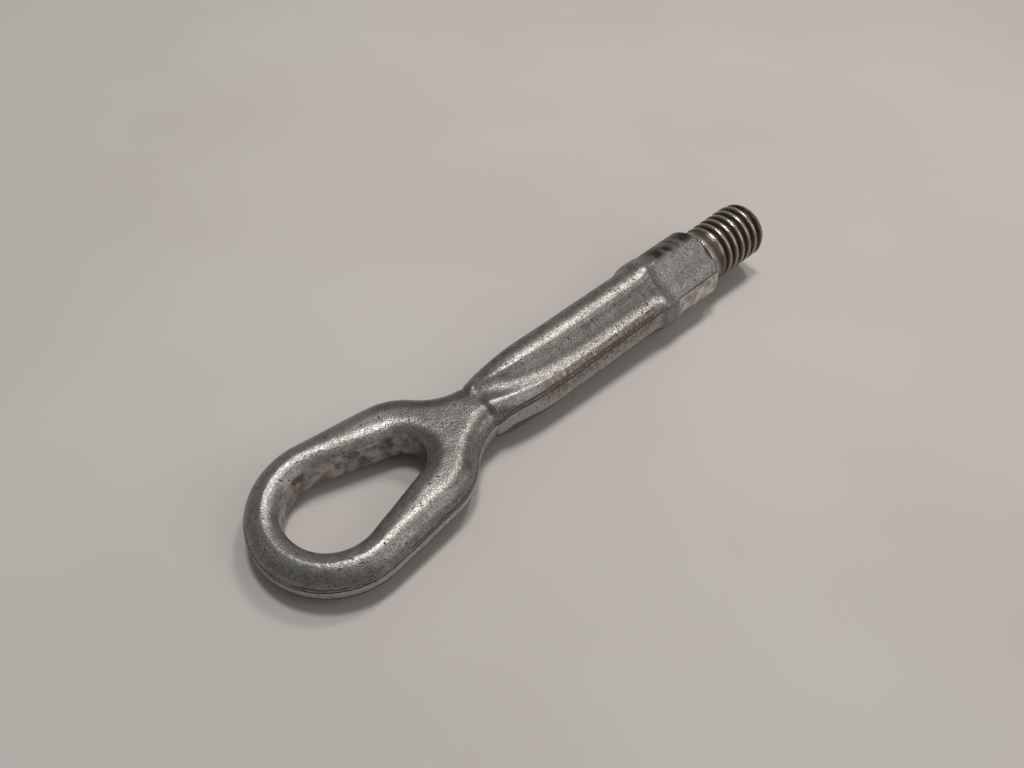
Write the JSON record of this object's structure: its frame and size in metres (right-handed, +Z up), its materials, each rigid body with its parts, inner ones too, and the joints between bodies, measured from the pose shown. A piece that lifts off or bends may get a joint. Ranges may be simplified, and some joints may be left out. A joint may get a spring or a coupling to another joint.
{
  "type": "screw-in tow eye",
  "caption": "Forged steel towing eye: a closed oval loop on a long grooved shank with a turned boss and a coarse threaded stud that screws into a car's bumper beam.",
  "frame": {"origin": "on the stud's axis, in the plane of the shoulder where the stud leaves the turned boss", "axes": "+X along the stud towards its tip, the eye lies flat in the XY plane, +Z up out of the eye's flat side"},
  "size_m": [0.1818, 0.0448, 0.0232],
  "materials": {
    "forged_steel": "satin"
  },
  "bodies": {
    "root": {"tow_eye": "forged_steel"}
  },
  "joints": []
}
